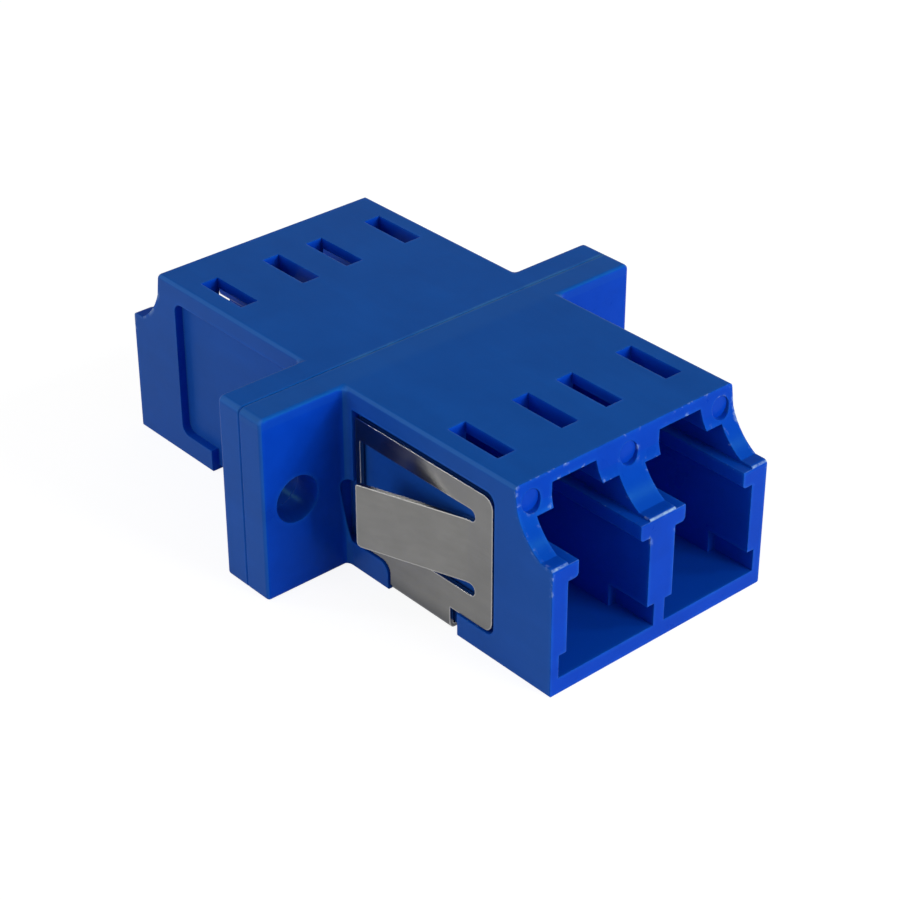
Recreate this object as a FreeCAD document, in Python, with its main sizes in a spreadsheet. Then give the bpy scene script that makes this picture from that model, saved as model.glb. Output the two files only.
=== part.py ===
import FreeCAD, Part
import math
import os
import Sketcher

# Duplex fibre adapter: two moulded halves joined at the flange, a split ceramic sleeve in
# each channel, and a folded spring clip round the front half.
# Both halves are the same moulding. Each piece is drawn with the joint plane at Y = 0 and
# its ports towards +Y. The front half and its clip are then turned half a turn about Z.

SIZES = {
    # outside of one half
    "body_width": 12.8,
    "body_height": 9.3,
    "port_reach": 14.7,
    "brow_reach": 12.4,
    "brow_lean": 0.15,
    "brow_drop": 1.1,
    "sweep_radius": 3.3,
    "sweep_end": 14.0,
    "shelf_height": 6.4,
    "shelf_round": 0.2,
    "edge_round": 0.2,
    "foot_edge_round": 0.08,
    # flange with its two screw holes
    "flange_width": 22.0,
    "flange_half": 1.5,
    "flange_round": 0.3,
    "flange_foot_round": 0.2,
    "flange_face_round": 0.18,
    "flange_root_round": 0.4,
    "seam_chamfer": 0.06,
    "screw_inset": 1.85,
    "screw_hole": 2.3,
    # one port, measured from its own centre line
    "port_pitch": 6.25,
    "floor_thickness": 0.8,
    "back_wall": 1.3,
    "relief_width": 5.6,
    "relief_height": 1.15,
    "relief_depth": 2.3,
    "plug_width": 4.76,
    "plug_height": 4.7,
    "lip_gap": 3.6,
    "lip_thickness": 0.8,
    "lip_round": 0.2,
    "latch_width": 4.72,
    "tooth_height": 7.7,
    "key_width": 2.5,
    "key_flare": 0.17,
    "roof_thickness": 0.55,
    # latch windows in the roof
    "window_near": 7.2,
    "window_far": 10.3,
    "window_gap": 2.66,
    "window_width": 0.97,
    # ejector marks on the brow
    "mark_diameter": 1.05,
    "mark_drop": 0.92,
    "mark_spread": 5.6,
    "mark_depth": 0.14,
    # sleeve holders
    "barrel_diameter": 2.9,
    "barrel_reach": 3.95,
    "ferrule_entry": 1.4,
    "entry_flare": 0.45,
    "sleeve_length": 6.8,
    "sleeve_diameter": 1.62,
    "sleeve_bore": 1.25,
    "sleeve_slit": 0.3,
    "sleeve_gap": 0.06,
    "sleeve_play": 0.05,
    # seat of the clip in the side faces and across the bottom
    "seat_near": 1.97,
    "seat_far": 11.2,
    "seat_drop": 1.0,
    "seat_bottom": 1.15,
    "seat_depth": 0.42,
    "seat_round": 0.5,
    "tab_top": 1.32,
    "channel_near": 4.25,
    "channel_far": 8.88,
    "channel_round": 0.57,
    # relief in the flange beside each spring tongue
    "nook_width": 0.37,
    "nook_height": 4.62,
    "nook_depth": 0.25,
    # clip
    "clip_thickness": 0.2,
    "clip_inset": 0.08,
    "bridge_inset": 0.03,
    "clip_near_gap": 0.12,
    "clip_far_gap": 0.2,
    "clip_top_gap": 0.35,
    "clip_foot_gap": 0.04,
    "tab_gap": 0.06,
    "clip_corner": 0.55,
    "clip_bend": 0.1,
    "bridge_far_gap": 0.56,
    "strip_near": 0.3,
    "strip_far": 1.07,
    "strip_top": 1.07,
    "sill_height": 2.51,
    "tongue_low": 3.1,
    "tongue_top": 6.28,
    "tongue_end": 4.25,
    "tongue_bend": 0.4,
    "tongue_angle": 19.0,
    "tongue_top_corner": 0.1,
    "tongue_low_corner": 0.25,
    "tongue_root": 0.1,
    # how far a cut runs past the face it opens
    "cut_margin": 1.0,
}

# numbers that a sketch gives its origin and the points of an edge
ORIGIN, START, END, CENTRE = -1, 1, 2, 3

doc = FreeCAD.newDocument("fibre_adapter")
sheet = doc.addObject("Spreadsheet::Sheet", "Sizes")
for row, (alias, value) in enumerate(SIZES.items(), start=1):
    sheet.set("A%d" % row, alias)
    sheet.set("B%d" % row, str(value))
    sheet.setAlias("B%d" % row, alias)
doc.recompute()


class Length:
    """A value together with the spreadsheet formula that gives it."""

    def __init__(self, value, formula):
        self.value = value
        self.formula = formula

    def __add__(self, other):
        other = as_length(other)
        return Length(self.value + other.value, "(%s + %s)" % (self.formula, other.formula))

    def __sub__(self, other):
        other = as_length(other)
        return Length(self.value - other.value, "(%s - %s)" % (self.formula, other.formula))

    def __mul__(self, other):
        other = as_length(other)
        return Length(self.value * other.value, "(%s * %s)" % (self.formula, other.formula))

    def __truediv__(self, other):
        other = as_length(other)
        return Length(self.value / other.value, "(%s / %s)" % (self.formula, other.formula))

    def __neg__(self):
        return Length(-self.value, "(-1 * %s)" % self.formula)


def as_length(value):
    """Turn a plain number into a Length."""
    if isinstance(value, Length):
        return value
    return Length(float(value), repr(float(value)))


def size(alias):
    """The named cell of the sheet."""
    return Length(SIZES[alias], "Sizes." + alias)


def sine(angle):
    """Sine of an angle in degrees."""
    return Length(math.sin(math.radians(angle.value)), "sin(%s)" % angle.formula)


def cosine(angle):
    """Cosine of an angle in degrees."""
    return Length(math.cos(math.radians(angle.value)), "cos(%s)" % angle.formula)


def origin_plane(body, role):
    """One of the body's own origin planes."""
    return next(item for item in body.Origin.OriginFeatures if item.Role == role)


def new_sketch(body, name, role, offset=0):
    """Empty sketch on an origin plane, moved along the plane's normal by the offset."""
    sketch = body.newObject("Sketcher::SketchObject", name)
    sketch.AttachmentSupport = [(origin_plane(body, role), "")]
    sketch.MapMode = "FlatFace"
    sketch.setExpression("AttachmentOffset.Base.z", as_length(offset).formula)
    return sketch


def bind_point(sketch, edge, end, point):
    """Hold a point of the sketch at two lengths from the sketch's origin."""
    for kind, coordinate in zip(("DistanceX", "DistanceY"), point):
        length = as_length(coordinate)
        index = sketch.addConstraint(
            Sketcher.Constraint(kind, ORIGIN, START, edge, end, length.value)
        )
        sketch.setExpression("Constraints[%d]" % index, length.formula)


def bind_radius(sketch, edge, radius):
    """Hold the radius of an arc or circle at a length."""
    index = sketch.addConstraint(Sketcher.Constraint("Radius", edge, radius.value))
    sketch.setExpression("Constraints[%d]" % index, radius.formula)


def arc_between(start, end, radius, left):
    """Short arc from start to end, with its centre to the left or right of the chord."""
    chord = end - start
    rise = math.sqrt(max(radius * radius - chord.Length * chord.Length / 4, 0.0))
    side = FreeCAD.Vector(-chord.y, chord.x, 0).normalize()
    if not left:
        side = side * -1
    centre = (start + end) * 0.5 + side * rise
    circle = Part.Circle(centre, FreeCAD.Vector(0, 0, 1), radius)
    first, last = (start, end) if left else (end, start)
    return Part.ArcOfCircle(circle, circle.parameter(first), circle.parameter(last))


def add_outline(sketch, points):
    """Closed outline through the points. A point that carries a radius starts an arc:
    a positive radius turns left on the way to the next point and a negative one right."""
    first_edge = sketch.GeometryCount
    places = [FreeCAD.Vector(as_length(p[0]).value, as_length(p[1]).value, 0) for p in points]
    ends = []
    for number, point in enumerate(points):
        here = places[number]
        after = places[(number + 1) % len(points)]
        if len(point) == 2:
            sketch.addGeometry(Part.LineSegment(here, after), False)
            ends.append((START, END))
        else:
            left = point[2].value > 0
            sketch.addGeometry(arc_between(here, after, abs(point[2].value), left), False)
            ends.append((START, END) if left else (END, START))
    for number, point in enumerate(points):
        after = (number + 1) % len(points)
        sketch.addConstraint(
            Sketcher.Constraint(
                "Coincident",
                first_edge + number,
                ends[number][1],
                first_edge + after,
                ends[after][0],
            )
        )
    for number, point in enumerate(points):
        bind_point(sketch, first_edge + number, ends[number][0], point[:2])
        if len(point) == 3:
            radius = point[2] if point[2].value > 0 else -point[2]
            bind_radius(sketch, first_edge + number, radius)


def outline(body, name, role, points, offset=0):
    """Sketch with one closed outline."""
    sketch = new_sketch(body, name, role, offset)
    add_outline(sketch, points)
    return sketch


def circles(body, name, role, centres, diameter, offset=0):
    """Sketch with equal circles."""
    sketch = new_sketch(body, name, role, offset)
    radius = diameter / 2
    for number, centre in enumerate(centres):
        place = FreeCAD.Vector(as_length(centre[0]).value, as_length(centre[1]).value, 0)
        sketch.addGeometry(Part.Circle(place, FreeCAD.Vector(0, 0, 1), radius.value), False)
        bind_point(sketch, number, CENTRE, centre)
        bind_radius(sketch, number, radius)
    return sketch


def rounded_section(half, top, foot_radius, top_radius):
    """Corner points of a rectangle that stands on Z = 0, with its corners rounded."""
    return [
        (-half + foot_radius, as_length(0)),
        (half - foot_radius, as_length(0), foot_radius),
        (half, foot_radius),
        (half, top - top_radius, top_radius),
        (half - top_radius, top),
        (-half + top_radius, top, top_radius),
        (-half, top - top_radius),
        (-half, foot_radius, foot_radius),
    ]


def box(low_x, low_y, high_x, high_y):
    """Corner points of a rectangle, counter-clockwise."""
    return [(low_x, low_y), (high_x, low_y), (high_x, high_y), (low_x, high_y)]


def pad(body, name, sketch, length, both_ways=False, against_normal=False):
    """Material raised from a sketch."""
    feature = body.newObject("PartDesign::Pad", name)
    feature.Profile = sketch
    feature.setExpression("Length", length.formula)
    feature.Midplane = both_ways
    feature.Reversed = against_normal
    doc.recompute()
    return feature


def pocket(body, name, sketch, length, both_ways=False, along_normal=False):
    """Material cut below a sketch. The cut has to take something away."""
    before = body.Shape.Volume
    feature = body.newObject("PartDesign::Pocket", name)
    feature.Profile = sketch
    feature.setExpression("Length", length.formula)
    feature.Midplane = both_ways
    feature.Reversed = along_normal
    doc.recompute()
    if not body.Shape.Volume < before:
        raise RuntimeError("%s cuts nothing" % name)
    return feature


def mirror(body, name, originals):
    """The same features on the other side of the middle plane."""
    feature = body.newObject("PartDesign::Mirrored", name)
    feature.Originals = originals
    feature.MirrorPlane = (origin_plane(body, "YZ_Plane"), [""])
    body.Tip = feature
    doc.recompute()
    return feature


def dress(body, name, kind, radius, test):
    """Fillet or chamfer on every edge of the body that passes the test."""
    base = body.Tip
    names = [
        "Edge%d" % number
        for number, edge in enumerate(base.Shape.Edges, start=1)
        if test(edge.BoundBox, edge)
    ]
    if not names:
        raise RuntimeError("%s finds no edge" % name)
    feature = body.newObject("PartDesign::" + kind, name)
    feature.Base = (base, names)
    cell = "Radius" if kind == "Fillet" else "Size"
    feature.setExpression(cell, radius.formula)
    doc.recompute()
    return feature


def near(first, second, tolerance=0.001):
    """Whether two coordinates are the same place."""
    return abs(first - second) < tolerance


# Places that several features share
half_width = size("body_width") / 2
height = size("body_height")
port_reach = size("port_reach")
port_centre = size("port_pitch") / 2
floor = size("floor_thickness")
lip_bottom = floor + size("plug_height")
lip_top = lip_bottom + size("lip_thickness")
roof = height - size("roof_thickness")
ferrule_height = floor + size("plug_height") / 2
seat_top = height - size("seat_drop")
seat_plane = half_width - size("seat_depth")
channel_plane = size("bridge_inset") + size("clip_thickness")
mark_height = height - size("mark_drop")
margin = size("cut_margin")
across = size("body_width") * 2


def port_outline(centre):
    """Opening of one port seen from the front."""
    plug = size("plug_width") / 2
    gap = size("lip_gap") / 2
    latch = size("latch_width") / 2
    key = size("key_width") / 2
    flare = size("key_flare")
    nose = size("lip_round")
    tooth = size("tooth_height")
    right = [
        (centre + plug, floor),
        (centre + plug, lip_bottom),
        (centre + gap + nose, lip_bottom, -nose),
        (centre + gap, lip_bottom + nose),
        (centre + gap, lip_top),
        (centre + latch, lip_top),
        (centre + latch, tooth),
        (centre + key + flare, tooth),
        (centre + key, roof),
    ]
    left = [
        (centre - key, roof),
        (centre - key - flare, tooth),
        (centre - latch, tooth),
        (centre - latch, lip_top),
        (centre - gap, lip_top),
        (centre - gap, lip_bottom + nose, -nose),
        (centre - gap - nose, lip_bottom),
        (centre - plug, lip_bottom),
        (centre - plug, floor),
    ]
    return right + left


def build_housing(name, placement):
    """One moulded half, with the joint plane at Y = 0 and its ports towards +Y."""
    body = doc.addObject("PartDesign::Body", name)
    body.Label = name

    # flange, rounded all round on the port side
    flange = size("flange_width") / 2
    section = outline(
        body,
        name + "_flange_section",
        "XZ_Plane",
        rounded_section(flange, height, size("flange_foot_round"), size("flange_round")),
    )
    pad(body, name + "_flange", section, size("flange_half"), against_normal=True)
    dress(
        body,
        name + "_flange_edges",
        "Fillet",
        size("flange_face_round"),
        lambda reach, edge: near(reach.YMin, SIZES["flange_half"]),
    )

    # body block, then the brow, sweep and shelf cut from its top corner
    section = outline(
        body,
        name + "_body_section",
        "XZ_Plane",
        rounded_section(half_width, height, size("foot_edge_round"), size("edge_round")),
    )
    pad(body, name + "_block", section, port_reach, against_normal=True)
    dress(
        body,
        name + "_flange_roots",
        "Fillet",
        size("flange_root_round"),
        lambda reach, edge: near(abs(reach.XMin), half_width.value)
        and near(reach.XMin, reach.XMax)
        and near(reach.YMin, SIZES["flange_half"])
        and near(reach.YMax, SIZES["flange_half"]),
    )
    brow = size("brow_reach")
    shelf = size("shelf_height")
    corner = size("shelf_round")
    profile = [
        (brow, height + margin),
        (brow, height),
        (brow + size("brow_lean"), height - size("brow_drop"), size("sweep_radius")),
        (size("sweep_end"), shelf),
        (port_reach - corner, shelf, -corner),
        (port_reach, shelf - corner),
        (port_reach + margin, shelf - corner),
        (port_reach + margin, height + margin),
    ]
    sketch = outline(body, name + "_sweep_profile", "YZ_Plane", profile)
    pocket(body, name + "_sweep", sketch, across, both_ways=True)

    # port on one side
    made = []
    sketch = outline(
        body,
        name + "_port_outline",
        "XZ_Plane",
        port_outline(port_centre),
        -size("back_wall"),
    )
    made.append(pocket(body, name + "_port", sketch, port_reach))
    relief = size("relief_width") / 2
    sketch = outline(
        body,
        name + "_relief_outline",
        "XZ_Plane",
        box(port_centre - relief, floor, port_centre + relief, floor + size("relief_height")),
        size("relief_depth") - port_reach,
    )
    made.append(pocket(body, name + "_relief", sketch, port_reach))

    # room behind the teeth for the latch, and its two windows in the roof
    window = size("window_gap") / 2 + size("window_width")
    window_length = size("window_far") - size("window_near")
    sketch = outline(
        body,
        name + "_latch_outline",
        "XZ_Plane",
        box(port_centre - window, lip_top, port_centre + window, roof),
        -size("window_near"),
    )
    made.append(pocket(body, name + "_latch_room", sketch, window_length))
    sketch = new_sketch(body, name + "_window_outline", "XY_Plane", height)
    for side in (-1, 1):
        inner = port_centre + size("window_gap") / 2 * side
        outer = port_centre + window * side
        low, high = (outer, inner) if side < 0 else (inner, outer)
        add_outline(sketch, box(low, size("window_near"), high, size("window_far")))
    made.append(pocket(body, name + "_windows", sketch, height - size("tooth_height")))

    # ejector mark over the outer wall
    sketch = circles(
        body,
        name + "_mark_outline",
        "XZ_Plane",
        [(size("mark_spread"), mark_height)],
        size("mark_diameter"),
        size("mark_depth") - brow - size("brow_lean"),
    )
    made.append(pocket(body, name + "_mark", sketch, port_reach))

    # sleeve holder: a barrel on the back wall, bored for the sleeve and flared at its mouth
    sketch = circles(
        body,
        name + "_barrel_outline",
        "XZ_Plane",
        [(port_centre, ferrule_height)],
        size("barrel_diameter"),
    )
    made.append(pad(body, name + "_barrel", sketch, size("barrel_reach"), against_normal=True))
    sleeve_room = size("sleeve_diameter") / 2 + size("sleeve_gap")
    sleeve_end = size("sleeve_length") / 2 + size("sleeve_play")
    entry = size("ferrule_entry") / 2
    rim = entry + size("entry_flare")
    mouth = size("barrel_reach")
    sketch = new_sketch(body, name + "_bore_profile", "YZ_Plane", port_centre)
    add_outline(
        sketch,
        [
            (-margin, ferrule_height),
            (mouth + margin, ferrule_height),
            (mouth + margin, ferrule_height + rim),
            (mouth, ferrule_height + rim),
            (sleeve_end, ferrule_height + entry),
            (sleeve_end, ferrule_height + sleeve_room),
            (-margin, ferrule_height + sleeve_room),
        ],
    )
    bore = body.newObject("PartDesign::Groove", name + "_bore")
    bore.Profile = sketch
    bore.ReferenceAxis = (sketch, ["Edge1"])
    bore.Angle = 360
    doc.recompute()
    made.append(bore)
    mirror(body, name + "_second_port", made)

    # ejector mark on the divider
    sketch = circles(
        body,
        name + "_middle_mark_outline",
        "XZ_Plane",
        [(as_length(0), mark_height)],
        size("mark_diameter"),
        size("mark_depth") - brow - size("brow_lean"),
    )
    pocket(body, name + "_middle_mark", sketch, port_reach)

    # seat of the clip: a shallow recess in each side face, open to a channel in the bottom
    near_edge = size("seat_near")
    far_edge = size("seat_far")
    low_edge = size("seat_bottom")
    tab_top = size("tab_top")
    bend = size("channel_round")
    sketch = outline(
        body,
        name + "_seat_outline",
        "YZ_Plane",
        [
            (size("channel_near"), -margin),
            (size("channel_far"), -margin),
            (size("channel_far"), low_edge),
            (far_edge, low_edge),
            (far_edge, seat_top),
            (near_edge, seat_top),
            (near_edge, tab_top),
            (size("channel_near") - bend, tab_top, -bend),
            (size("channel_near"), tab_top - bend),
        ],
        seat_plane,
    )
    seat = pocket(body, name + "_seat", sketch, across, along_normal=True)
    nook_low = tab_top
    nook_top = size("nook_height")
    nook = size("nook_width")
    sketch = outline(
        body,
        name + "_nook_outline",
        "XZ_Plane",
        [
            (seat_plane, nook_low),
            (half_width, nook_low),
            (half_width + nook, nook_top - nook, nook),
            (half_width, nook_top),
            (seat_plane, nook_top),
        ],
        size("nook_depth") - size("flange_half"),
    )
    depth = near_edge - size("flange_half") + size("nook_depth")
    hollow = pocket(body, name + "_nook", sketch, depth)
    mirror(body, name + "_second_seat", [seat, hollow])
    sketch = outline(
        body,
        name + "_channel_outline",
        "YZ_Plane",
        box(size("channel_near"), -margin, size("channel_far"), channel_plane),
    )
    pocket(body, name + "_channel", sketch, across, both_ways=True)
    dress(
        body,
        name + "_seat_corners",
        "Fillet",
        size("seat_round"),
        lambda reach, edge: near(reach.YMin, far_edge.value)
        and near(reach.YMax, far_edge.value)
        and near(reach.ZMin, reach.ZMax)
        and (near(reach.ZMin, low_edge.value) or near(reach.ZMin, seat_top.value)),
    )

    # screw holes, and the fine chamfer that makes the seam
    def on_rim(reach):
        """Whether an edge of the joint face lies on the flange's rim."""
        inside_rim = SIZES["flange_round"] + 0.001
        on_end = max(abs(reach.XMin), abs(reach.XMax)) > flange.value - inside_rim
        return on_end or near(reach.ZMax, 0.0) or near(reach.ZMin, height.value)

    screw = flange - size("screw_inset")
    sketch = circles(
        body,
        name + "_screw_outline",
        "XZ_Plane",
        [(-screw, height / 2), (screw, height / 2)],
        size("screw_hole"),
    )
    pocket(body, name + "_screw_holes", sketch, size("flange_half") + margin)
    dress(
        body,
        name + "_seam",
        "Chamfer",
        size("seam_chamfer"),
        lambda reach, edge: near(reach.YMax, 0.0) and on_rim(reach),
    )
    body.Placement = placement
    return body


def build_sleeve(name, centre):
    """Split sleeve that lines two ferrules up, with its slit on top."""
    body = doc.addObject("PartDesign::Body", name)
    body.Label = name
    outer = size("sleeve_diameter") / 2
    inner = size("sleeve_bore") / 2
    length = size("sleeve_length")
    section = new_sketch(body, name + "_section", "XZ_Plane")
    for number, radius in enumerate((outer, inner)):
        place = FreeCAD.Vector(centre.value, ferrule_height.value, 0)
        section.addGeometry(Part.Circle(place, FreeCAD.Vector(0, 0, 1), radius.value), False)
        bind_point(section, number, CENTRE, (centre, ferrule_height))
        bind_radius(section, number, radius)
    pad(body, name + "_tube", section, length, both_ways=True)
    slit = size("sleeve_slit") / 2
    sketch = outline(
        body,
        name + "_slit_outline",
        "XZ_Plane",
        box(centre - slit, ferrule_height, centre + slit, ferrule_height + outer + margin),
    )
    pocket(body, name + "_slit", sketch, length * 2, both_ways=True)
    return body


def build_clip(name, placement):
    """Spring clip folded from one strip: a bridge under the body, two side plates, and a
    tongue in the window of each plate that splays out towards the flange."""
    body = doc.addObject("PartDesign::Body", name)
    body.Label = name
    thickness = size("clip_thickness")
    gap = size("tab_gap")
    outer = half_width - size("clip_inset")
    near_edge = size("seat_near") + size("clip_near_gap")
    far_edge = size("seat_far") - size("clip_far_gap")
    top = seat_top - size("clip_top_gap")
    foot = size("seat_bottom") + size("clip_foot_gap")
    tab_top = size("tab_top")
    bottom = size("bridge_inset")
    corner = size("clip_corner")
    bend = size("channel_round")
    bridge_near = size("channel_near") + gap
    bridge_far = size("channel_far") - size("bridge_far_gap")

    # blank seen from the side, as wide as the folded clip
    blank = outline(
        body,
        name + "_blank_outline",
        "YZ_Plane",
        [
            (bridge_near, bottom),
            (bridge_far, bottom),
            (bridge_far, foot),
            (far_edge - corner, foot, corner),
            (far_edge, foot + corner),
            (far_edge, top - corner, corner),
            (far_edge - corner, top),
            (near_edge, top),
            (near_edge, tab_top + gap),
            (size("channel_near") - bend, tab_top + gap, -(bend + gap)),
            (bridge_near, tab_top - bend),
        ],
    )
    pad(body, name + "_blank", blank, outer * 2, both_ways=True)

    # inside of the fold, and its outer bends
    fold = size("clip_bend")
    inner = outer - thickness
    hollow = outline(
        body,
        name + "_hollow_outline",
        "XZ_Plane",
        [
            (-inner + fold, channel_plane),
            (inner - fold, channel_plane, fold),
            (inner, channel_plane + fold),
            (inner, height),
            (-inner, height),
            (-inner, channel_plane + fold, fold),
        ],
    )
    pocket(body, name + "_hollow", hollow, port_reach * 2, both_ways=True)
    dress(
        body,
        name + "_bends",
        "Fillet",
        fold + thickness,
        lambda reach, edge: near(abs(reach.XMin), outer.value)
        and near(reach.XMin, reach.XMax)
        and near(reach.ZMin, bottom.value)
        and near(reach.ZMax, bottom.value),
    )

    # window of each side plate
    end = far_edge - size("strip_far")
    head = (top - size("strip_top") - size("tongue_top")) / 2
    sill = size("sill_height")
    foot_round = (size("tongue_low") - sill) / 2
    window = outline(
        body,
        name + "_window_outline",
        "YZ_Plane",
        [
            (near_edge + size("strip_near"), sill),
            (end - foot_round, sill, foot_round),
            (end, sill + foot_round, foot_round),
            (end - foot_round, size("tongue_low")),
            (end - foot_round, size("tongue_top")),
            (end - head, size("tongue_top"), head),
            (end, size("tongue_top") + head, head),
            (end - head, top - size("strip_top")),
            (near_edge + size("strip_near"), top - size("strip_top")),
        ],
    )
    pocket(body, name + "_window", window, across, both_ways=True)

    # tongue seen from above: a root in line with the plate, one bend, and a straight run
    angle = size("tongue_angle")
    inside = size("tongue_bend")
    outside = inside + thickness
    root = end - foot_round - size("tongue_root")
    run = root - size("tongue_end")
    reach_out = (run - inside * sine(angle)) * sine(angle) / cosine(angle)
    top_x = outer + inside * (as_length(1) - cosine(angle)) + reach_out
    top_y = size("tongue_end")
    sketch = outline(
        body,
        name + "_tongue_outline",
        "XY_Plane",
        [
            (outer, end),
            (outer, root, -inside),
            (outer + inside * (as_length(1) - cosine(angle)), root - inside * sine(angle)),
            (top_x, top_y),
            (top_x - thickness * cosine(angle), top_y - thickness * sine(angle)),
            (
                outer + inside - outside * cosine(angle),
                root - outside * sine(angle),
                outside,
            ),
            (inner, root),
            (inner, end),
        ],
        size("tongue_low"),
    )
    tongue = pad(body, name + "_tongue", sketch, size("tongue_top") - size("tongue_low"))
    mirror(body, name + "_second_tongue", [tongue])
    for level in ("low", "top"):
        corner_height = SIZES["tongue_" + level]
        dress(
            body,
            name + "_tongue_%s_corners" % level,
            "Fillet",
            size("tongue_%s_corner" % level),
            lambda reach, edge: near(reach.ZMin, corner_height)
            and near(reach.ZMax, corner_height)
            and abs(edge.Length - thickness.value) < thickness.value / 100
            and min(abs(reach.XMin), abs(reach.XMax)) > outer.value + thickness.value,
        )
    body.Placement = placement
    return body


ahead = FreeCAD.Placement(FreeCAD.Vector(0, 0, 0), FreeCAD.Rotation(0, 0, 0))
turned = FreeCAD.Placement(
    FreeCAD.Vector(0, 0, 0), FreeCAD.Rotation(FreeCAD.Vector(0, 0, 1), 180)
)
parts = [
    build_housing("rear_housing", ahead),
    build_housing("front_housing", turned),
    build_sleeve("left_split_sleeve", -port_centre),
    build_sleeve("right_split_sleeve", port_centre),
    build_clip("spring_clip", turned),
]

doc.recompute()
for item in doc.Objects:
    if "Invalid" in item.State or "Error" in item.State:
        raise RuntimeError("%s failed: %s" % (item.Name, item.State))
for part in parts:
    if part.Shape.isNull() or not part.Shape.isValid():
        raise RuntimeError("%s has no valid shape" % part.Label)
    print(part.Label, len(part.Shape.Solids), round(part.Shape.Volume, 2), part.Shape.BoundBox)

os.makedirs("parts", exist_ok=True)
for part in parts:
    part.Shape.exportStep("parts/%s.step" % part.Label)
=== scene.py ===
import math

import bpy
from mathutils import Matrix, Vector


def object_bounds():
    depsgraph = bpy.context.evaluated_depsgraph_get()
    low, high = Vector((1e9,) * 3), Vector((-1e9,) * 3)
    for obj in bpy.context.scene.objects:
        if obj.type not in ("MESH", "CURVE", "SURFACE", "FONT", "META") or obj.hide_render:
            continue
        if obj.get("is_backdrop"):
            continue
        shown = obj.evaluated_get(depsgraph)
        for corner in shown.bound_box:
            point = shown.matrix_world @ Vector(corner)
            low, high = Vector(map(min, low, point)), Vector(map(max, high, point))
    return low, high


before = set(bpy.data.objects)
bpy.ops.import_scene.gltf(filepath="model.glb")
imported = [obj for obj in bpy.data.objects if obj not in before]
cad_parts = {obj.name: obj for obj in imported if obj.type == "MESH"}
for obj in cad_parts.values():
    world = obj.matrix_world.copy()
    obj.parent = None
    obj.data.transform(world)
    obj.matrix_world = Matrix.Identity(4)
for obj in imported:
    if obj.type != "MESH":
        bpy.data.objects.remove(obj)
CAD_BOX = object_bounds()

# Camera: fitted to corner points of the photograph, in degrees and metres
AZIMUTH = -40.790
ELEVATION = 30.859
ROLL = -0.363
DISTANCE = 0.108742
AIM = Vector((0.0, 0.0, 0.00465))
LENS = 94.096
SHIFT = (0.01828, -0.03959)

# Where the moulding's finishes, painted highlights and painted glints start and end, in metres
# from the middle of its bottom face
SEAT_WALL = 0.00599
BODY_SIDE = 0.0060
PAST_BODY_SIDE = 0.0066
EAR_END = 0.0106
TOP_FACE = 0.0088
FLANGE_FACE = -0.0017, -0.0012
SEAM_START = -0.0062, -0.0043
MOUTHS = 0.0124
LIP_NOSES = 0.01448
UPPER_HALF = 0.0050
GLINT_SIDE = 0.0058

# Heights at the foot of the clip over which its painted shade towards the fold fades out, in
# metres
FOLD_SHADE = 0.0002, 0.0010

# Light: lamp places and sizes in metres, power in watts
LAMPS = {
    "key": ((0.095, -0.36, 0.095), (0.15, 0.15), 0.90),
    "fill": ((-0.355, 0.04, 0.11), (0.2, 0.2), 0.27),
    "glint": ((0.204, -0.192, 0.21), (0.05, 0.008), 0.12),
    "rim": ((-0.17, 0.222, 0.186), (0.045, 0.045), 0.08),
}
WORLD_LIGHT = 0.255
BACKDROP_TOP = 0.08, 0.34
FLOOR_HALF = 2.0
FLOOR_GLOW = 1.35


def add_camera():
    """The camera at the photograph's viewing angle."""
    a, e, r = (math.radians(value) for value in (AZIMUTH, ELEVATION, ROLL))
    back = Vector((math.sin(a) * math.cos(e), -math.cos(a) * math.cos(e), math.sin(e)))
    level = Vector((math.cos(a), math.sin(a), 0.0))
    rise = back.cross(level)
    right = level * math.cos(r) + rise * math.sin(r)
    up = rise * math.cos(r) - level * math.sin(r)
    data = bpy.data.cameras.new("camera")
    data.lens = LENS
    data.sensor_width = 36.0
    data.shift_x, data.shift_y = SHIFT
    data.clip_start = 0.001
    data.clip_end = 10.0
    camera = bpy.data.objects.new("camera", data)
    turn = Matrix((right, up, back)).transposed().to_4x4()
    camera.matrix_world = Matrix.Translation(AIM + back * DISTANCE) @ turn
    bpy.context.scene.collection.objects.link(camera)
    bpy.context.scene.camera = camera


class Nodes:
    """A node tree in the making, with short calls for the nodes that it uses."""

    def __init__(self, tree):
        self.nodes = tree.nodes
        self.links = tree.links

    def feed(self, socket, value):
        """Link an output or set a constant."""
        if isinstance(value, bpy.types.NodeSocket):
            self.links.new(value, socket)
        elif isinstance(value, tuple) and len(value) == 3 and socket.type == "RGBA":
            socket.default_value = (*value, 1.0)
        else:
            socket.default_value = value

    def spread(self, value, low, high, start=0.0, end=1.0):
        """Map a value from start..end to low..high, and keep it there."""
        node = self.nodes.new("ShaderNodeMapRange")
        self.feed(node.inputs["Value"], value)
        node.inputs["From Min"].default_value = start
        node.inputs["From Max"].default_value = end
        node.inputs["To Min"].default_value = low
        node.inputs["To Max"].default_value = high
        return node.outputs["Result"]

    def sum(self, operation, first, second):
        """Arithmetic on two values."""
        node = self.nodes.new("ShaderNodeMath")
        node.operation = operation
        self.feed(node.inputs[0], first)
        self.feed(node.inputs[1], second)
        return node.outputs[0]

    def both(self, *values):
        """Product of masks or numbers."""
        result = values[0]
        for value in values[1:]:
            result = self.sum("MULTIPLY", result, value)
        return result

    def either(self, first, second):
        """The larger of two masks."""
        return self.sum("MAXIMUM", first, second)


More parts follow.
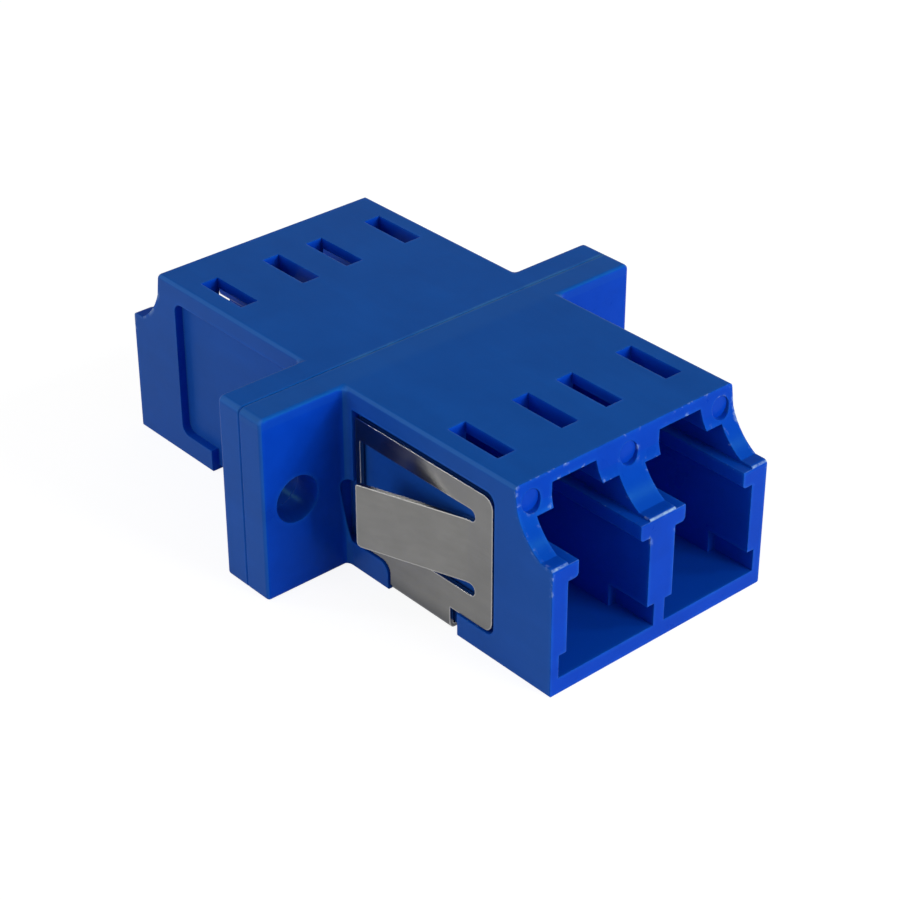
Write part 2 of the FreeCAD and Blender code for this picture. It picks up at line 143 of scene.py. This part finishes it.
class Finish(Nodes):
    """A node material on the object's own coordinates."""

    def __init__(self, name):
        self.material = bpy.data.materials.new(name)
        self.material.use_nodes = True
        super().__init__(self.material.node_tree)
        self.nodes.clear()
        self.output = self.nodes.new("ShaderNodeOutputMaterial")
        self.place = self.nodes.new("ShaderNodeTexCoord").outputs["Object"]
        self.normal = self.nodes.new("ShaderNodeNewGeometry").outputs["Normal"]

    def shader(self):
        """Principled shader joined to the output."""
        node = self.nodes.new("ShaderNodeBsdfPrincipled")
        self.links.new(node.outputs["BSDF"], self.output.inputs["Surface"])
        return node

    def noise(self, scale, detail=3.0, roughness=0.5, stretch=(1.0, 1.0, 1.0), distortion=0.0):
        """Noise on the object's coordinates, in periods per metre."""
        mapping = self.nodes.new("ShaderNodeMapping")
        mapping.inputs["Scale"].default_value = stretch
        texture = self.nodes.new("ShaderNodeTexNoise")
        texture.inputs["Scale"].default_value = scale
        texture.inputs["Detail"].default_value = detail
        texture.inputs["Roughness"].default_value = roughness
        texture.inputs["Distortion"].default_value = distortion
        self.links.new(self.place, mapping.inputs["Vector"])
        self.links.new(mapping.outputs["Vector"], texture.inputs["Vector"])
        return texture.outputs["Fac"]

    def mix(self, factor, first, second):
        """Blend two colours."""
        node = self.nodes.new("ShaderNodeMix")
        node.data_type = "RGBA"
        self.feed(node.inputs["Factor"], factor)
        self.feed(node.inputs[6], first)
        self.feed(node.inputs[7], second)
        return node.outputs[2]

    def part(self, axis, vector=None):
        """One part of the place, or of another vector."""
        node = self.nodes.new("ShaderNodeSeparateXYZ")
        self.links.new(self.place if vector is None else vector, node.inputs[0])
        return node.outputs[axis]

    def along(self, axis, vector=None):
        """Size of one part, without its sign."""
        return self.sum("ABSOLUTE", self.part(axis, vector), 0.0)

    def facing(self, axis):
        """How far a face looks along one axis: 1 straight along it, 0 across it."""
        return self.along(axis, self.normal)

    def upward(self):
        """1 on level faces that look up, 0 on walls and ceilings."""
        return self.spread(self.part("Z", self.normal), 0.0, 1.0, 0.3, 0.9)

    def beyond(self, axis, distance, blend=0.00005):
        """1 where the place lies further out along one axis than a distance."""
        return self.spread(self.along(axis), 0.0, 1.0, distance - blend, distance)

    def sharp_edges(self, reach):
        """1 on sharp outer edges, falling to 0 over the reach."""
        node = self.nodes.new("ShaderNodeAmbientOcclusion")
        node.inside = True
        node.only_local = True
        node.samples = 6
        node.inputs["Distance"].default_value = reach
        return self.spread(node.outputs["AO"], 1.0, 0.0, 0.45, 0.95)

    def soft_edges(self, radius):
        """Normal that rounds sharp edges."""
        node = self.nodes.new("ShaderNodeBevel")
        node.samples = 4
        node.inputs["Radius"].default_value = radius
        return node.outputs["Normal"]

    def bump(self, height, depth, normal=None):
        """Bump of a depth in metres."""
        node = self.nodes.new("ShaderNodeBump")
        node.inputs["Distance"].default_value = depth
        self.feed(node.inputs["Height"], height)
        if normal is not None:
            self.feed(node.inputs["Normal"], normal)
        return node.outputs["Normal"]


def outer_walls(finish):
    """Masks of the moulding's outer side walls, and of its top and bottom."""
    flanks = finish.sum(
        "SUBTRACT", finish.beyond("X", SEAT_WALL), finish.beyond("X", PAST_BODY_SIDE)
    )
    flanks = finish.sum("ADD", flanks, finish.beyond("X", EAR_END))
    sides = finish.both(finish.spread(finish.facing("X"), 0.0, 1.0, 0.40, 0.65), flanks)
    bottom = finish.spread(finish.along("Z"), 1.0, 0.0, 0.00005, 0.0001)
    ends = finish.either(finish.beyond("Z", TOP_FACE), bottom)
    lids = finish.both(finish.spread(finish.facing("Z"), 0.0, 1.0, 0.40, 0.65), ends)
    return sides, lids


def pale_flange_and_joint_highlight(finish, cloud, colour):
    """Colour with the paler front half of the flange's top, and a painted highlight along the
    line of the joint on it.
    """
    top = finish.beyond("Z", TOP_FACE)
    flange = finish.sum(
        "SUBTRACT",
        finish.spread(finish.part("Y"), 0.0, 0.26, *FLANGE_FACE),
        finish.spread(finish.part("Y"), 0.0, 0.26, -0.0001, 0.0),
    )
    colour = finish.mix(finish.both(flange, top), colour, (0.022, 0.130, 0.475))
    # painted highlight: a pale line along the joint
    seam_highlight = finish.both(
        finish.spread(finish.along("Y"), 0.9, 0.0, 0.00008, 0.00018),
        top,
        finish.spread(cloud, 0.3, 1.0, 0.40, 0.55),
        finish.spread(finish.part("X"), 0.15, 1.0, *SEAM_START),
    )
    return finish.mix(seam_highlight, colour, (0.038, 0.165, 0.47))


def painted_glints(finish, edge_mask):
    """Mask of painted glints on the noses of the lips and the upper mouth edges, broken up by
    noise.
    """
    glint_breakup = finish.noise(2400.0, detail=4.0, roughness=0.6)
    slopes = finish.both(finish.facing("Y"), finish.facing("Z"))
    lips = finish.both(
        finish.spread(slopes, 0.0, 1.0, 0.36, 0.48),
        finish.beyond("Y", LIP_NOSES),
        finish.spread(glint_breakup, 0.2, 1.0, 0.38, 0.55),
    )
    side = finish.both(finish.beyond("X", GLINT_SIDE), 0.06)
    glint_patches = finish.spread(finish.sum("ADD", glint_breakup, side), 0.0, 0.8, 0.59, 0.70)
    mouths = finish.both(finish.beyond("Y", MOUTHS), finish.beyond("Z", UPPER_HALF), edge_mask, glint_patches)
    return finish.either(lips, mouths)


def moulded_plastic():
    """Satin blue moulding: matter outer walls, faint flow marks, painted sheen, painted
    highlights on edges and painted glints at the mouths.
    """
    finish = Finish("blue_moulding")
    shader = finish.shader()
    cloud = finish.noise(330.0, detail=5.0, roughness=0.62, distortion=0.4)
    flow = finish.noise(
        520.0, detail=4.0, roughness=0.6, stretch=(1.0, 0.18, 1.0), distortion=0.8
    )
    tone = finish.sum("ADD", finish.both(cloud, 0.6), finish.both(flow, 0.4))
    tone = finish.spread(tone, 0.0, 1.0, 0.36, 0.64)

    # polished inside and matt outside, with painted highlight and painted sheen in the colours
    smooth = finish.mix(tone, (0.0010, 0.048, 0.49), (0.0020, 0.060, 0.57))
    # painted highlight: faces that look up are a little paler
    smooth = finish.mix(finish.upward(), smooth, (0.0020, 0.074, 0.54))
    # painted sheen: the matt outer walls are greener, and the side walls redder, than the inside
    matt_sheen = finish.mix(tone, (0.0020, 0.092, 0.46), (0.0040, 0.108, 0.52))
    matt_side_sheen = finish.mix(tone, (0.013, 0.090, 0.445), (0.017, 0.104, 0.505))
    sides, lids = outer_walls(finish)
    outer = finish.either(sides, lids)
    colour = finish.mix(outer, smooth, matt_sheen)
    colour = finish.mix(sides, colour, matt_side_sheen)

    # painted highlights on sharp outer edges and on the long edges of the top
    edge_mask = finish.sharp_edges(0.00022)
    edge_highlight = finish.both(edge_mask, finish.spread(cloud, 0.15, 0.75, 0.35, 0.65))
    # painted highlight: sharp outer edges are lighter blue
    colour = finish.mix(edge_highlight, colour, (0.010, 0.130, 0.68))
    slopes = finish.both(finish.facing("X"), finish.facing("Z"))
    top_edge_highlight = finish.both(
        finish.spread(slopes, 0.0, 0.7, 0.12, 0.40),
        finish.beyond("Z", TOP_FACE),
        finish.beyond("X", BODY_SIDE),
    )
    # painted highlight: the long edges of the top are lighter
    colour = finish.mix(top_edge_highlight, colour, (0.045, 0.190, 0.66))

    colour = pale_flange_and_joint_highlight(finish, cloud, colour)
    # painted glints: pale blue on the lip noses and the upper mouth edges
    colour = finish.mix(painted_glints(finish, edge_mask), colour, (0.33, 0.50, 0.82))
    finish.feed(shader.inputs["Base Color"], colour)
    gloss = finish.sum("ADD", finish.spread(tone, 0.26, 0.34), finish.both(outer, 0.06))
    finish.feed(shader.inputs["Roughness"], gloss)
    finish.feed(shader.inputs["Specular IOR Level"], 0.10)
    finish.feed(shader.inputs["Specular Tint"], (0.0, 1.0, 0.4))
    grain = finish.noise(9000.0, detail=3.0)
    skin = finish.bump(flow, 0.000006, finish.soft_edges(0.00007))
    finish.feed(shader.inputs["Normal"], finish.bump(grain, 0.000002, skin))
    return finish.material


def spring_steel():
    """Rolled stainless strip with faint lengthwise lines, painted highlights on the cut edges and
    painted shade towards the fold.
    """
    finish = Finish("spring_steel")
    shader = finish.shader()
    finish.feed(shader.inputs["Metallic"], 1.0)
    cloud = finish.noise(420.0, detail=4.0, roughness=0.6)
    lines = finish.noise(2600.0, detail=3.0, roughness=0.55, stretch=(1.0, 0.05, 1.0))
    tone = finish.sum("ADD", finish.both(cloud, 0.65), finish.both(lines, 0.35))
    tone = finish.spread(tone, 0.0, 1.0, 0.35, 0.65)
    colour = finish.mix(tone, (0.240, 0.238, 0.230), (0.290, 0.287, 0.278))
    # painted shade: darker towards the fold
    fold_shade = finish.spread(finish.along("Z"), 0.75, 0.0, *FOLD_SHADE)
    colour = finish.mix(fold_shade, colour, (0.10, 0.105, 0.12))
    # painted highlight: the cut edges are light
    colour = finish.mix(finish.sharp_edges(0.00007), colour, (0.78, 0.77, 0.74))
    finish.feed(shader.inputs["Base Color"], colour)
    finish.feed(shader.inputs["Roughness"], finish.spread(tone, 0.18, 0.27))
    skin = finish.bump(lines, 0.0000010, finish.soft_edges(0.00006))
    finish.feed(shader.inputs["Normal"], skin)
    return finish.material


def ceramic():
    """Polished white zirconia."""
    finish = Finish("zirconia")
    shader = finish.shader()
    cloud = finish.noise(1500.0, detail=4.0)
    colour = finish.mix(cloud, (0.74, 0.72, 0.66), (0.86, 0.85, 0.80))
    finish.feed(shader.inputs["Base Color"], colour)
    finish.feed(shader.inputs["Roughness"], finish.spread(cloud, 0.12, 0.22))
    finish.feed(shader.inputs["Normal"], finish.bump(cloud, 0.000001))
    return finish.material


def add_floor():
    """Pale paper: white to the camera and in reflections, with a faint shadow of the object."""
    mesh = bpy.data.meshes.new("floor")
    near, far = -FLOOR_HALF, FLOOR_HALF
    corners = [(near, near, 0), (far, near, 0), (far, far, 0), (near, far, 0)]
    mesh.from_pydata(corners, [], [(0, 1, 2, 3)])
    floor = bpy.data.objects.new("floor", mesh)
    bpy.context.scene.collection.objects.link(floor)
    finish = Finish("floor_paper")
    paper = finish.nodes.new("ShaderNodeBsdfDiffuse")
    fibre = finish.noise(40.0, detail=4.0)
    finish.feed(paper.inputs["Color"], finish.mix(fibre, (0.84, 0.84, 0.84), (0.88, 0.88, 0.88)))
    glow = finish.nodes.new("ShaderNodeEmission")
    glow.inputs["Strength"].default_value = FLOOR_GLOW
    path = finish.nodes.new("ShaderNodeLightPath")
    seen = finish.either(path.outputs["Is Camera Ray"], path.outputs["Is Transmission Ray"])
    mirrored = finish.both(path.outputs["Is Glossy Ray"], 0.32)
    blend = finish.nodes.new("ShaderNodeMixShader")
    finish.feed(blend.inputs[0], finish.either(finish.both(seen, 0.66), mirrored))
    finish.links.new(paper.outputs[0], blend.inputs[1])
    finish.links.new(glow.outputs[0], blend.inputs[2])
    finish.links.new(blend.outputs[0], finish.output.inputs["Surface"])
    mesh.materials.append(finish.material)
    floor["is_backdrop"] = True


def add_world():
    """Even pale light, white to the camera and, up to the backdrop's top, in reflections."""
    world = bpy.data.worlds.new("studio")
    bpy.context.scene.world = world
    world.use_nodes = True
    sky = Nodes(world.node_tree)
    background = sky.nodes["Background"]
    background.inputs["Color"].default_value = (1.0, 1.0, 1.0, 1.0)
    path = sky.nodes.new("ShaderNodeLightPath")
    mirrored = sky.either(path.outputs["Is Glossy Ray"], path.outputs["Is Transmission Ray"])
    split = sky.nodes.new("ShaderNodeSeparateXYZ")
    sky.links.new(sky.nodes.new("ShaderNodeTexCoord").outputs["Generated"], split.inputs[0])
    backdrop = sky.spread(split.outputs["Z"], 1.0, 0.0, *BACKDROP_TOP)
    white = sky.either(path.outputs["Is Camera Ray"], sky.both(mirrored, backdrop))
    sky.feed(background.inputs["Strength"], sky.spread(white, WORLD_LIGHT, 1.0))


def add_light(name, place, size, power):
    """Soft lamp of a width and height that faces the object."""
    data = bpy.data.lights.new(name, "AREA")
    data.shape = "RECTANGLE"
    data.size, data.size_y = size
    data.energy = power
    lamp = bpy.data.objects.new(name, data)
    lamp.location = place
    lamp.rotation_euler = (Vector(place) - AIM).to_track_quat("Z", "Y").to_euler()
    bpy.context.scene.collection.objects.link(lamp)


add_camera()
add_floor()
add_world()
for name, (place, size, power) in LAMPS.items():
    add_light(name, place, size, power)

finishes = {"housing": moulded_plastic(), "sleeve": ceramic(), "clip": spring_steel()}
for name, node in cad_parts.items():
    node.data.materials.clear()
    node.data.materials.append(finishes[name.split("_")[-1]])

bpy.context.scene.view_settings.view_transform = "Standard"

boxes = {"cad": CAD_BOX, "visual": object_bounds()}
boxes = {key: [list(map(float, corner)) for corner in box] for key, box in boxes.items()}
